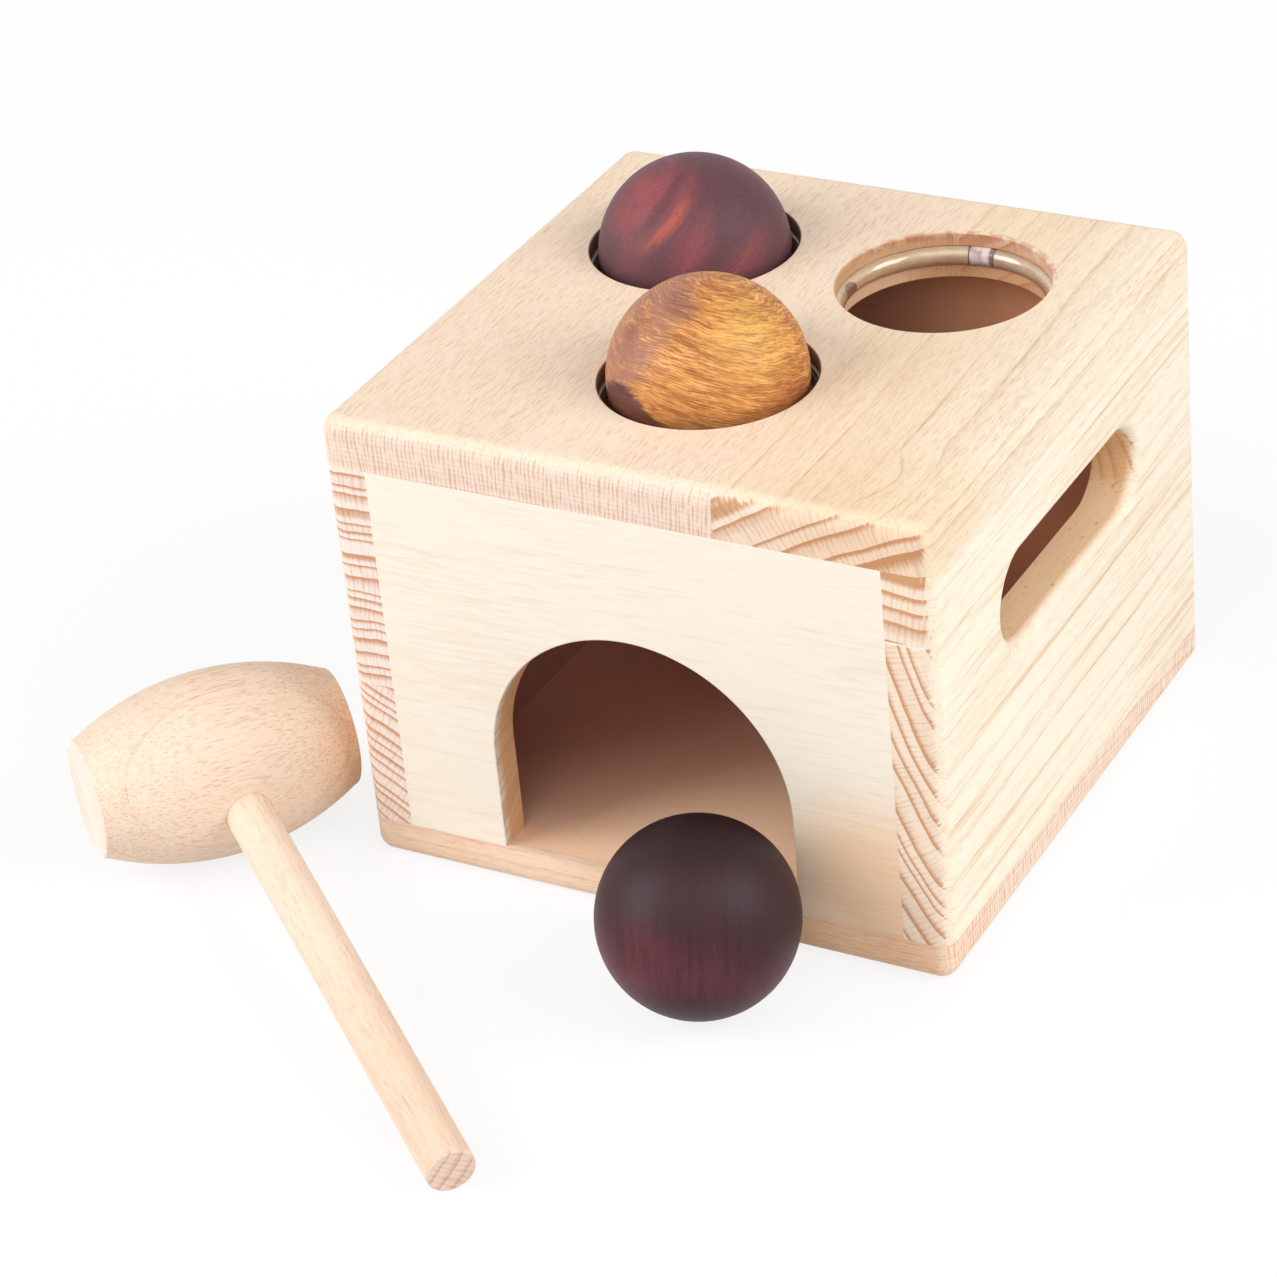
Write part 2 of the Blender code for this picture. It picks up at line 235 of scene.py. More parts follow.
def add_piece(name, mesh, body, replaced, finish, place=None):
    """Show a mesh as one named piece: smooth shading, its finish, its body and its CAD node."""
    if place is not None:
        mesh.transform(place)
    piece = bpy.data.objects.new(name, mesh)
    bpy.context.scene.collection.objects.link(piece)
    mesh.shade_smooth()
    mesh.set_sharp_from_angle(angle=SHARP_ANGLE)
    mesh.materials.clear()
    mesh.materials.append(finish)
    normals = piece.modifiers.new("even_shading", 'WEIGHTED_NORMAL')
    normals.keep_sharp = True
    normals.weight = 100
    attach(piece, body)
    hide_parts(replaced)
    return piece


# ---------------------------------------------------------------- finishes

class Socket:
    """An output of a shader node; Python's operators on it add the Math nodes they stand for."""

    def __init__(self, finish, outlet):
        self.finish = finish
        self.outlet = outlet

    def maths(self, operation, *others):
        return self.finish.node("ShaderNodeMath", {"operation": operation}, (self, *others))

    def __add__(self, other):
        return self.maths("ADD", other)

    __radd__ = __add__

    def __sub__(self, other):
        return self.maths("SUBTRACT", other)

    def __rsub__(self, other):
        return self.maths("MULTIPLY", -1.0).maths("ADD", other)

    def __mul__(self, other):
        return self.maths("MULTIPLY", other)

    __rmul__ = __mul__

    def __truediv__(self, other):
        return self.maths("DIVIDE", other)

    def vector(self, operation, values, outlet=0):
        values = values if isinstance(values, dict) else {0: self, 1: values}
        return self.finish.node("ShaderNodeVectorMath", {"operation": operation}, values, outlet)

    def plus(self, other):
        return self.vector("ADD", other)

    def less(self, other):
        return self.vector("SUBTRACT", other)

    def scaled(self, amounts):
        return self.vector("MULTIPLY", amounts)

    def times(self, amount):
        """A vector with every part multiplied by one number."""
        return self.vector("SCALE", {0: self, 3: amount})

    def length(self):
        return self.vector("LENGTH", {0: self}, 1)

    def dot(self, other):
        return self.vector("DOT_PRODUCT", other, 1)

    def parts(self):
        made = self.finish.node("ShaderNodeSeparateXYZ", {}, (self,))
        return [Socket(self.finish, outlet) for outlet in made.outlet.node.outputs]

    def between(self, low, high):
        """0 below low, 1 above high and a smooth rise between; high may be the lower one."""
        return self.finish.node("ShaderNodeMapRange", {"interpolation_type": 'SMOOTHSTEP'},
                                (self, low, high))


class Finish:
    """The nodes of a material, or of the world, while they are made."""

    def __init__(self, owner):
        self.owner = owner
        owner.use_nodes = True
        self.tree = owner.node_tree
        self.tree.nodes.clear()

    def node(self, kind, settings, values, outlet=0):
        """Add a node: its settings first, then the values or links of its sockets."""
        made = self.tree.nodes.new(kind)
        for setting, value in settings.items():
            setattr(made, setting, value)
        pairs = values.items() if isinstance(values, dict) else enumerate(values)
        for place, value in pairs:
            if isinstance(value, Socket):
                self.tree.links.new(value.outlet, made.inputs[place])
            else:
                made.inputs[place].default_value = value
        return None if outlet is None else Socket(self, made.outputs[outlet])

    def own_place(self):
        return self.node("ShaderNodeTexCoord", {}, (), 3)

    def own_normal(self):
        return self.node("ShaderNodeTexCoord", {}, (), 1)

    def away_from(self, point):
        """Place seen from a point of the frame, in mm."""
        return self.own_place().less(tuple(point)).times(1 / MM)

    def noise(self, place, scale=1.0, detail=2.0, roughness=0.5, outlet=0):
        return self.node("ShaderNodeTexNoise", {"noise_dimensions": '3D'},
                         {"Vector": place, "Scale": scale, "Detail": detail, "Roughness": roughness},
                         outlet)

    def stray(self, place, scale, detail=2.0):
        """A vector that wanders about zero, for bending the grain."""
        return self.noise(place.scaled(scale), 1.0, detail, 0.5, 1).less((0.5, 0.5, 0.5))

    def line_noise(self, along):
        return self.node("ShaderNodeTexNoise", {"noise_dimensions": '1D'},
                         {"W": along, "Scale": 1.0, "Detail": 1.0})

    def cells(self, place):
        return self.node("ShaderNodeTexVoronoi", {"feature": 'F1'},
                         {"Vector": place, "Scale": 1.0, "Randomness": 1.0})

    def vector(self, x, y, z):
        return self.node("ShaderNodeCombineXYZ", {}, (x, y, z))

    def mix(self, factor, first, second, blend='MIX'):
        """Colours mixed by a factor."""
        return self.node("ShaderNodeMix", {"data_type": 'RGBA', "blend_type": blend},
                         {0: factor, 6: rgba(first), 7: rgba(second)}, 2)

    def tinted(self, colour, tint):
        return self.mix(1.0, colour, tint, 'MULTIPLY')

    def either(self, factor, first, second):
        """Vectors mixed by a factor."""
        return self.node("ShaderNodeMix", {"data_type": 'VECTOR'},
                         {0: factor, 4: first, 5: second}, 1)

    def bump(self, height, strength, distance):
        return self.node("ShaderNodeBump", {},
                         {"Strength": strength, "Distance": distance, "Height": height})

    def principled(self, **inputs):
        """A Principled shader; names are its sockets' in lower case."""
        values = {name.replace("_", " ").title().replace("Ior", "IOR"): value
                  for name, value in inputs.items()}
        return self.node("ShaderNodeBsdfPrincipled", {}, values)

    def surface(self, **inputs):
        self.end("ShaderNodeOutputMaterial", self.principled(**inputs))
        return self.owner

    def end(self, kind, shader):
        self.node(kind, {}, (shader,), None)


def new_finish(name):
    return Finish(bpy.data.materials.new(name))


def rgba(colour):
    return colour if isinstance(colour, Socket) else (*colour, 1.0)


def log_frame(make, grain, stave):
    """Place in a stave's log, in mm: Z runs along the grain and X from the pith to the stave."""
    along = Vector(grain).normalized()
    outward = Vector(stave["outward"])
    outward = (outward - along * outward.dot(along)).normalized()
    axes = Matrix((outward, along.cross(outward), along)).transposed()
    pith = (Vector(stave["middle"]) - outward * stave["from_pith"]) * MM
    return make.node("ShaderNodeMapping", {"vector_type": 'TEXTURE'},
                     (make.own_place(), pith, axes.to_euler(), (MM, MM, MM)))


def depth_inside(make):
    """How far a point lies under the box's rounded outer skin, in mm."""
    middle = make.own_place().less((0, 0, BENCH_HEIGHT / 2)).scaled((1 / MM,) * 3)
    core = [(size / 2 - ROUNDED_EDGE) / MM for size in (BENCH_WIDTH, BENCH_DEPTH, BENCH_HEIGHT)]
    away = middle.vector("ABSOLUTE", (0, 0, 0)).less(core)
    outside = away.vector("MAXIMUM", (0, 0, 0)).length()
    x, y, z = away.parts()
    within = x.maths("MAXIMUM", y).maths("MAXIMUM", z).maths("MINIMUM", 0.0)
    return ROUNDED_EDGE / MM - outside - within


class Figure:
    """The solid pattern of a piece of wood: its years, fibres and rays, from the place in its log."""

    def __init__(self, make, log, from_pith, ring, sway):
        wander = make.stray(log, (0.035, 0.035, 0.009))
        ripple = make.stray(log, (0.22, 0.22, 0.05), 1.0)
        bent = log.plus(wander.times(sway)).plus(ripple.times(sway * 0.14))
        across, sideways, self.along = bent.parts()
        self.radius = (across * across + sideways * sideways).maths("POWER", 0.5)
        self.around = sideways.maths("ARCTAN2", across) * from_pith
        self.year = self.radius / ring + (make.line_noise(self.radius * 0.16) - 0.5) * 1.5
        self.season = self.year.maths("FRACT")
        self.number = make.node("ShaderNodeTexWhiteNoise", {"noise_dimensions": '1D'},
                                {"W": self.year.maths("FLOOR")})
        self.make = make

    def rays(self, gap):
        """Fine lines from the pith outward, some stronger than others."""
        place = self.make.vector(self.around * 0.45, self.radius * 0.07, self.along * 0.03)
        shift = (self.make.noise(place, 1.0, 1.0) - 0.5) * 1.5
        line = ((self.around / gap + shift).maths("FRACT") - 0.5).maths("ABSOLUTE").between(0.32, 0.08)
        place = self.make.vector(self.around * 1.1, self.radius * 0.30, self.along * 0.1)
        return line * self.make.noise(place, 1.0, 1.0).between(0.24, 0.66)

    def fibres(self, width, length, detail=2.0, roughness=0.5):
        """Noise drawn out along the grain."""
        place = self.make.vector(self.around / width, self.radius / width, self.along / length)
        return self.make.noise(place, 1.0, detail, roughness)


def beech(name, grain, staves, seams=(), seam_axis=0, inside=None, torn=None, fading=None, browner_or_shaded=None,
          curl=None, shaded_holes=()):
    """Beech with solid grain, glued up from staves that meet at the seams along one axis.

    inside tells the face toward the box's inside (its axis, and where it starts and is whole) and
    the painted shade and light it gets there (in a direction, from and to a place, from and to a
    colour). torn is the centre of a hole whose rim the drill tore a little, fading a change of colour
    along the seams' axis, browner_or_shaded a place painted browner (painted shade on some pieces,
    browner wood on others), curl one where the years swirl, and shaded_holes the centres of the
    holes whose walls are painted dark as the shade of the balls in them.
    """
    make = new_finish(name)
    coordinate = make.own_place().parts()[seam_axis] / MM
    masks = [coordinate.maths("GREATER_THAN", seam) for seam in seams]

    def pick(key):
        """A stave's number, chosen by the masks."""
        chosen = staves[0][key]
        for mask, stave in zip(masks, staves[1:]):
            if stave[key] != chosen:
                chosen = mask * stave[key] + (1 - mask) * chosen
        return chosen

    def pick_colour(key):
        chosen = staves[0][key]
        for mask, stave in zip(masks, staves[1:]):
            if stave[key] != chosen:
                chosen = make.mix(mask, chosen, stave[key])
        return chosen

    log = log_frame(make, grain, staves[0])
    for mask, stave in zip(masks, staves[1:]):
        log = make.either(mask, log, log_frame(make, grain, stave))
    sway = pick("sway")
    if curl is not None:
        sway = sway + near(make.own_place().times(1 / MM), curl, 2.0, 16.0) * 9.0
    figure = Figure(make, log, pick("from_pith"), pick("ring"), sway)

    # Late wood is a dark line at the year's end, broken along the board, with a soft side
    season = figure.season
    line = season.between(0.80, 0.985) * season.between(1.0, 0.985)
    broad = season.between(0.52, 0.94) * season.between(1.0, 0.94)
    shade = season.between(0.35, 0.98) * season.between(1.0, 0.985)
    broken = figure.fibres(2.2, 26.0).between(0.34, 0.62)

    # Pores are short dashes along the grain, and rays are fine lines across the years on an end
    dash = make.cells(log.scaled((1 / 0.50, 1 / 0.50, 1 / 5.5))).between(0.52, 0.10)
    speck = make.cells(log.scaled((1 / 0.33, 1 / 0.33, 1 / 2.2))).between(0.50, 0.12)
    ray = figure.rays(pick("ray_gap"))
    fibre = figure.fibres(0.30, 6.0, 3.0, 0.65)
    streak = figure.fibres(*staves[0]["streak_size"], 2.0)
    thread = figure.fibres(1.1, 90.0, 1.0).between(0.56, 0.74)
    cloud = make.noise(log.scaled((0.045, 0.045, 0.016)), 1.0, 2.0, 0.5)

    # End grain where the surface faces along the grain: its edge is a comb of fine teeth
    facing = make.own_normal().dot(Vector(grain).normalized()).maths("ABSOLUTE")
    comb = make.vector(figure.around / 0.5, figure.radius / 5.0, figure.along / 60.0)
    teeth = (make.noise(comb, 1.0, 1.0) - 0.5) * 0.6
    end = (facing + teeth).between(0.66, 0.84)
    turning = (facing + teeth).between(0.10, 0.45) * (facing + teeth).between(0.97, 0.84)

    weak = 1 - (1 - broken) * 0.75
    flat = (line * weak * pick("line") + shade * pick("shade") + (streak - 0.5) * pick("streak")
            + (fibre - 0.5) * pick("fibre") + (figure.number - 0.5) * 0.10 + (cloud - 0.5) * 0.5
            + dash * pick("dash") + speck * pick("dash") * 0.6 + thread * pick("thread"))
    cut = ((line * 0.4 + broad * 0.66) * pick("end_line") + shade * pick("end_shade")
           + (figure.number - 0.5) * 0.2 + (fibre - 0.5) * 0.3 + (cloud - 0.5) * 0.3
           + ray * pick("end_ray") + speck * 0.16)
    early = pick_colour("early")
    if fading is not None:
        early = make.mix(coordinate.between(fading[0], fading[1]), early, fading[2])
    colour = make.mix(flat, early, pick_colour("dark"))
    pale = make.mix(dash * 0.5 + speck * 0.3, (0.95, 0.81, 0.64), (0.80, 0.58, 0.41))
    colour = make.mix(turning * pick("turning"), colour, pale)
    colour = make.mix(end, colour, make.mix(cut, pick_colour("end_early"), pick_colour("end_dark")))
    for seam, stave in zip(seams, staves[1:]):
        if stave["glue"]:
            joint = (coordinate - seam).maths("ABSOLUTE").between(0.32, 0.18) * end
            colour = make.mix(joint * 0.85, colour, (0.95, 0.90, 0.84))
    if torn is not None:
        from_rim = make.away_from((*torn, BENCH_HEIGHT))
        sideways, backward, up = from_rim.parts()
        reach = (sideways * sideways + backward * backward).maths("POWER", 0.5)
        rim = reach.between(23.9, 24.6) * reach.between(26.2, 25.0) * up.between(-2.6, -0.8)
        rim = rim * backward.between(0.0, 14.0) * make.noise(from_rim, 0.34, 2.0).between(0.40, 0.54)
        colour = make.mix(rim * 0.75, colour, (0.66, 0.36, 0.26))
        above = reach.between(24.95, 24.60) * up.between(-4.2, -3.2)
        tan = make.mix(sideways.between(-8.5, -5.0), (0.76, 0.60, 0.45), (0.96, 0.88, 0.82))
        colour = make.mix(above, colour, make.tinted(colour, tan))
    # A spot painted browner, fading outward: painted shade on the front panel, base and mallet head;
    # browner wood on the top and handle.
    if browner_or_shaded is not None:
        spot, reach, shade_of = browner_or_shaded
        away = make.away_from(Vector(spot) * MM).length()
        colour = make.mix(away.between(reach, reach * 0.25), colour, make.tinted(colour, shade_of))
    if inside is not None:
        face, outer, inner, toward, start, stop, first, last = inside
        here = make.own_place().times(1 / MM)
        # Cut walls are darker and more orange than the sanded skin: partly the cut wood's own colour,
        # partly painted shade.
        wall = make.mix(0.6, make.tinted(colour, staves[0]["wall"]), staves[0]["wall_flat"])
        wall = make.mix(end * 0.8, wall, make.tinted(wall, (1.0, 0.88, 0.72)))
        if staves[0]["pits"]:
            pit = make.cells(log.scaled((1 / 2.3, 1 / 2.3, 1 / 3.4))).between(0.28, 0.12)
            wall = make.mix(pit * broken * staves[0]["pits"], wall, (0.50, 0.29, 0.16))
        cut_wall = depth_inside(make).between(0.9, 3.2)
        colour = make.mix(cut_wall, colour, wall)
        # Painted shade: near a hole that holds a ball, its wall and the cut faces close by are painted
        # much darker.
        for centre in shaded_holes:
            away = make.away_from((*centre, 0.0)).scaled((1, 1, 0)).length()
            dark = (cut_wall * away.between(29.0, 27.0)).maths("MAXIMUM", away.between(24.9, 24.6))
            colour = make.mix(dark, colour, make.tinted(colour, (0.28, 0.22, 0.22)))
        # Painted shade, and on the base and back panel painted light, on the faces inside the box: a tint
        # that changes along a direction multiplies the colour.
        shade_of = make.mix(here.dot(toward).between(start, stop), first, last)
        facing_in = here.parts()[face].maths("ABSOLUTE").between(outer, inner)
        colour = make.mix(facing_in * cut_wall, colour, make.tinted(colour, shade_of))
    height = line * -0.5 + dash * -0.8 + speck * -0.6 + fibre * -0.9
    roughness = 0.56 + (fibre - 0.5) * 0.2 + dash * 0.06
    return make.surface(base_color=colour, roughness=roughness, specular_ior_level=0.28,
                        normal=make.bump(height, 0.45, 0.00004))


def board_stave(middle, outward, from_pith, ring, **changes):
    """A stave: a point inside it, the direction away from the pith, and its ring width, in mm."""
    stave = dict(middle=middle, outward=outward, from_pith=from_pith, ring=ring, sway=4.0,
                 early=(0.97, 0.80, 0.62), dark=(0.70, 0.44, 0.28),
                 end_early=(0.94, 0.72, 0.55), end_dark=(0.64, 0.32, 0.17),
                 line=0.24, shade=0.10, streak=0.3, dash=0.34, fibre=0.9, end_line=0.8, end_shade=0.42,
                 end_ray=0.30, ray_gap=1.3, turning=0.5, streak_size=(1.3, 38.0), glue=False,
                 wall=(0.97, 0.78, 0.60), wall_flat=(0.70, 0.45, 0.29), thread=0.0, pits=0.0)
    stave.update(changes)
    return stave


def ball_place(make, centre, across, grain):
    """Place in a ball's wood, in mm from its centre: X runs across the layers and Z with the grain."""
    across = Vector(across).normalized()
    grain = Vector(grain)
    grain = (grain - across * grain.dot(across)).normalized()
    axes = Matrix((across, grain.cross(across), grain)).transposed()
    return make.node("ShaderNodeMapping", {"vector_type": 'TEXTURE'},
                     (make.own_place(), centre, axes.to_euler(), (MM, MM, MM)))


def near(place, spot, inner, outer):
    """1 within a distance of a spot in a ball's wood, falling to 0 further out, in mm."""
    return place.less(spot).length().between(outer, inner)


def red_wood(centre):
    """Dusky red heartwood: dark layers, redder patches and one short bright orange streak."""
    make = new_finish("red_wood")
    place = ball_place(make, centre, (0.531, 0.478, -0.696), (-0.294, -0.665, -0.687))
    bent = place.plus(make.stray(place, (0.06, 0.06, 0.03)).times(6.0))
    across, sideways, along = bent.parts()
    layer = make.noise(make.vector(across * 0.22, sideways * 0.06, along * 0.03), 1.0, 2.5, 0.55)
    fine = make.noise(make.vector(across * 1.1, sideways * 0.6, along * 0.10), 1.0, 3.0, 0.6)
    grit = make.noise(place, 3.2, 2.0)
    pores = make.cells(make.vector(across / 0.5, sideways / 0.5, along / 2.4)).between(0.34, 0.10)
    drawn = bent.scaled((1.3, 1.0, 0.62))
    redder = layer.between(0.46, 0.78) * 0.5
    for spot, inner, outer, amount in (((-27.6, 7.4, -0.9), 1.0, 15.0, 0.75),
                                       ((-13.6, 19.6, 0.8), 0.0, 9.0, 0.6),
                                       ((2.0, 21.5, -2.0), 0.0, 10.0, 0.5),
                                       ((-7.0, 20.3, -6.0), 0.0, 9.0, -0.5),
                                       ((-25.3, 0.0, 8.0), 0.0, 9.0, -0.4)):
        redder = near(drawn, spot, inner, outer) * amount + redder
    hair = make.noise(make.vector(across * 2.4, sideways * 2.0, along * 0.28), 1.0, 2.0, 0.7)
    streaky = (fine - 0.5) * 1.1 + (hair - 0.5) * 0.7
    colour = make.mix(redder + streaky * 0.6, (0.122, 0.050, 0.060), (0.36, 0.082, 0.092))
    colour = make.mix(streaky * 1.15 + (grit - 0.5) * 2.0 + 0.16, colour, (0.072, 0.032, 0.042))
    line_across, line_side, line_along = place.parts()
    offset = line_across + line_along * 0.147 + 16.1 + (layer - 0.5) * 3.0 + (fine - 0.5) * 1.6
    bright = offset.maths("ABSOLUTE").between(1.6, 0.0) * line_side.between(7.0, 11.0)
    bright = bright * line_along.between(-10.0, -2.0) * line_along.between(11.0, 2.0)
    colour = make.mix(bright * (hair * 0.9 + 0.12), colour, (0.56, 0.125, 0.066))
    beside = (offset + 2.8).maths("ABSOLUTE").between(1.2, 0.2) * line_side.between(6.0, 10.0)
    colour = make.mix(beside * line_along.between(10.0, 2.0) * 0.6, colour, (0.095, 0.036, 0.044))
    colour = make.mix(pores * 0.4, colour, (0.07, 0.026, 0.030))
    height = pores * -1.0 + fine * 0.4
    return make.surface(base_color=colour, roughness=0.48 + hair * 0.14, specular_ior_level=0.28,
                        normal=make.bump(height, 0.4, 0.00004))


def golden_wood(centre):
    """Golden brown wood with fine wavy layers, a bright side that is partly golden figure and partly
    painted highlight, and darker heart patches.
    """
    make = new_finish("golden_wood")
    place = ball_place(make, centre, (0.186, 0.044, 0.980), (0.88, 0.47, -0.19))
    wander = make.stray(place, (0.06, 0.06, 0.05))
    ripple = make.stray(place, (0.40, 0.40, 0.30), 1.0)
    waves = ball_place(make, centre, (0.16, 0.30, 0.94), (0.88, 0.47, -0.19))
    bent = waves.plus(wander.times(4.0)).plus(ripple.times(0.5))
    across, sideways, along = bent.parts()
    layer = make.noise(make.vector(across * 1.0, sideways * 0.14, along * 0.09), 1.0, 2.0, 0.6)
    thread = make.noise(make.vector(across * 2.6, sideways * 0.45, along * 0.32), 1.0, 2.0, 0.65)
    drift = (make.noise(place.scaled((0.16, 0.16, 0.12)), 1.0, 2.0) - 0.5) * 3.0
    wave = ((across * 1.7 + drift).maths("FRACT") - 0.5).maths("ABSOLUTE") * 2.0
    weave = layer.between(0.20, 0.80) * 0.42 + wave * 0.20 + thread.between(0.25, 0.75) * 0.38
    patch = make.noise(place.scaled((0.10, 0.10, 0.08)), 1.0, 2.0, 0.5)
    pores = make.cells(make.vector(across / 0.4, sideways / 0.9, along / 2.4)).between(0.34, 0.10)
    soft = place.plus(wander.times(9.0))
    # The bright patch is partly golden figure and partly painted highlight.
    bright = near(soft, (17.0, 12.0, 8.0), 2.0, 15.0)
    layers, _, grain = soft.parts()
    dusky = (grain + (20.0 - layers) * 0.62).between(-3.5, -9.5) * (patch.between(0.24, 0.62) * 0.6 + 0.45)
    knot = near(soft, (20.3, 6.0, -7.0), 0.5, 6.0) + near(soft, (13.0, 6.0, -17.0), 0.0, 5.0) * 0.6
    # The dark heart wood is a crescent, widest in its middle
    tilt, swing, depth = place.parts()
    bow = (swing - 12.0) * (swing - 12.0) * 0.066 + tilt - 2.3 + (patch - 0.5) * 3.0 + (layer - 0.5) * 4.0
    heart = bow.between(1.1, -1.3) * depth.between(-2.0, -6.0)
    heart = heart + near(soft, (-3.0, -14.0, 14.0), 2.0, 12.0) * 0.8
    ruddy = near(soft, (2.0, 15.0, 17.0), 2.0, 12.0)
    colour = make.mix(weave.between(0.22, 0.72), (0.36, 0.125, 0.034), (0.76, 0.33, 0.090))
    colour = make.mix(weave.between(0.60, 0.88) * 0.75, colour, (0.92, 0.54, 0.21))
    colour = make.mix(bright * (weave * 0.9 + 0.05), colour, (0.93, 0.53, 0.13))
    colour = make.mix(ruddy * 0.5, colour, (0.33, 0.085, 0.030))
    colour = make.mix(dusky * (1.1 - weave * 0.8), colour, (0.36, 0.165, 0.130))
    colour = make.mix(knot * (1.0 - weave * 0.8), colour, (0.21, 0.080, 0.065))
    colour = make.mix(heart * 1.2 - weave * 0.4, colour, (0.050, 0.020, 0.028))
    under = across.between(2.0, -12.0)
    colour = make.mix(under * 0.5, colour, (0.33, 0.115, 0.050))
    colour = make.mix(pores * 0.35, colour, (0.17, 0.06, 0.025))
    height = pores * -1.0 + weave * 0.3
    return make.surface(base_color=colour, roughness=0.44 + thread * 0.12, specular_ior_level=0.30,
                        normal=make.bump(height, 0.25, 0.00003))


def purple_wood(centre):
    """Very dark brown purple wood, magenta where the layers open, with faint upright lines."""
    make = new_finish("purple_wood")
    place = ball_place(make, centre, (0.88, 0.467, -0.086), (-0.18, 0.496, 0.849))
    bent = place.plus(make.stray(place, (0.05, 0.05, 0.03)).times(5.0))
    across, sideways, along = bent.parts()
    line = make.noise(make.vector(across * 0.75, sideways * 0.12, along * 0.045), 1.0, 3.0, 0.55)
    patch = make.noise(place.scaled((0.05, 0.05, 0.04)), 1.0, 1.0, 0.5)
    pores = make.cells(make.vector(across / 0.5, sideways / 0.5, along / 2.6)).between(0.34, 0.10)
    low = (along * -1.0 - across * 0.22 + (patch - 0.5) * 22.0).between(-4.0, 17.0)
    grit = make.noise(place, 2.6, 2.0)
    colour = make.mix(low + (grit - 0.5) * 0.5, (0.036, 0.012, 0.015), (0.125, 0.030, 0.043))
    colour = make.mix(line.between(0.50, 0.34) * 0.3, colour, (0.018, 0.008, 0.010))
    colour = make.mix(line.between(0.56, 0.72) * low * 0.35, colour, (0.15, 0.042, 0.055))
    # Darker at the top and bottom of the ball, where the grain ends: partly the darker end grain, partly
    # painted shade.
    colour = make.mix(along.between(6.0, 19.0) * 0.8, colour, (0.010, 0.002, 0.003))
    colour = make.mix(along.between(-12.0, -20.0) * 0.65, colour, (0.018, 0.003, 0.006))
    colour = make.mix(pores * 0.4, colour, (0.016, 0.008, 0.010))
    height = pores * -1.0 + line * 0.4
    return make.surface(base_color=colour, roughness=0.44 + grit * 0.12, specular_ior_level=0.24,
                        normal=make.bump(height, 0.4, 0.00004))


def clear_surface(make, colour, edge, opacity, gloss, shine=2.0):
    """Clear soft plastic: mostly seen through, brown where it is seen edge on, with a glossy skin."""
    slant = make.node("ShaderNodeLayerWeight", {}, {"Blend": 0.5}, 1)
    rim = slant.between(0.52, 0.92)
    body = make.principled(base_color=make.mix(rim, colour, edge), alpha=rim * 0.4 + opacity,
                           roughness=0.4, specular_ior_level=0.0)
    skin = make.node("ShaderNodeBsdfGlossy", {}, {"Color": (1.0, 0.92, 0.84, 1.0), "Roughness": gloss})
    mirror = (make.node("ShaderNodeFresnel", {}, {"IOR": 1.45}) * shine).maths("MINIMUM", 0.38)
    make.end("ShaderNodeOutputMaterial", make.node("ShaderNodeMixShader", {}, (mirror, body, skin)))
    return make.owner


def tube_finish(name, centre):
    """The tube's clear plastic, with a painted dark spot in the empty hole for the dark bore seen through
    it, and painted shade, dark and less glossy, where it holds a ball.
    """
    make = new_finish(name)
    haze = make.noise(make.own_place(), 500.0, 2.0)
    # Painted dark spot in the empty hole, standing for the tube's dark bore seen through its clear wall.
    toward = make.away_from(Vector((*centre, RING_LEVEL)) + Vector((-22.5, -1.5, 0.3)) * MM)
    painted_bore_spot = toward.scaled((1.0, 0.68, 0.9)).length().between(2.25, 1.85)
    golden = toward.parts()[0].between(24.0, 2.0)
    clear = make.mix(golden, (0.97, 0.76, 0.55), (0.97, 0.72, 0.42))
    colour = make.mix(haze, (0.90, 0.62, 0.41), clear)
    colour = make.mix(painted_bore_spot, colour, (0.22, 0.10, 0.065))
    # Painted shade: the tube is darker and less glossy where a ball sits in its hole.
    painted_ball_shade = 0.0
    for hole in ("back_left", "front"):
        away = make.away_from((*HOLE_CENTRES[hole], RING_LEVEL)).length()
        painted_ball_shade = away.between(30.0, 29.0) + painted_ball_shade
    colour = make.mix(painted_ball_shade * 0.85, colour, (0.09, 0.06, 0.05))
    opacity = painted_bore_spot * 0.45 + haze * 0.12 + 0.37
    return clear_surface(make, colour, (0.34, 0.17, 0.10), opacity, 0.13, 2.4 - painted_ball_shade * 2.0)


def joiner_finish(name):
    """The joiner's clear plastic: a lilac collar between two paler plugs, with a painted highlight on the
    collar and painted shade at its end by the gap.
    """
    make = new_finish(name)
    haze = make.noise(make.own_place(), 420.0, 1.0).between(0.35, 0.65)
    outward = Vector((math.cos(JOINER_PLACE), math.sin(JOINER_PLACE), 0))
    collar = painted_gap_shade = painted_highlight = 0.0
    for centre in HOLE_CENTRES.values():
        away = make.away_from(Vector((*centre, RING_LEVEL)) + outward * RING_RADIUS)
        collar = away.length().between(4.3, 4.0) + collar
        here = away.length().between(5.0, 4.6)
        onward = away.dot((outward.y, -outward.x, 0))
        # Painted shade at the collar's end, by the gap to the tube.
        painted_gap_shade = here * onward.between(1.7, 2.3) + painted_gap_shade
        # Painted highlight on the collar, just before its shaded end.
        painted_highlight = here * onward.between(-0.4, 0.5) * onward.between(1.9, 1.4) + painted_highlight
    lilac = make.mix(haze, (0.52, 0.37, 0.34), (0.80, 0.67, 0.66))
    colour = make.mix(collar, (0.84, 0.66, 0.54), lilac)
    colour = make.mix(painted_gap_shade * 0.85, colour, (0.20, 0.11, 0.09))
    colour = make.mix(painted_highlight * 0.55, colour, (1.0, 0.95, 0.94))
    return clear_surface(make, colour, (0.44, 0.30, 0.27), collar * 0.6 + 0.25, 0.14)


# ---------------------------------------------------------------- box

ALONG_X = (1.0, 0.012, 0.006)
ALONG_Y = (0.012, 1.0, 0.008)

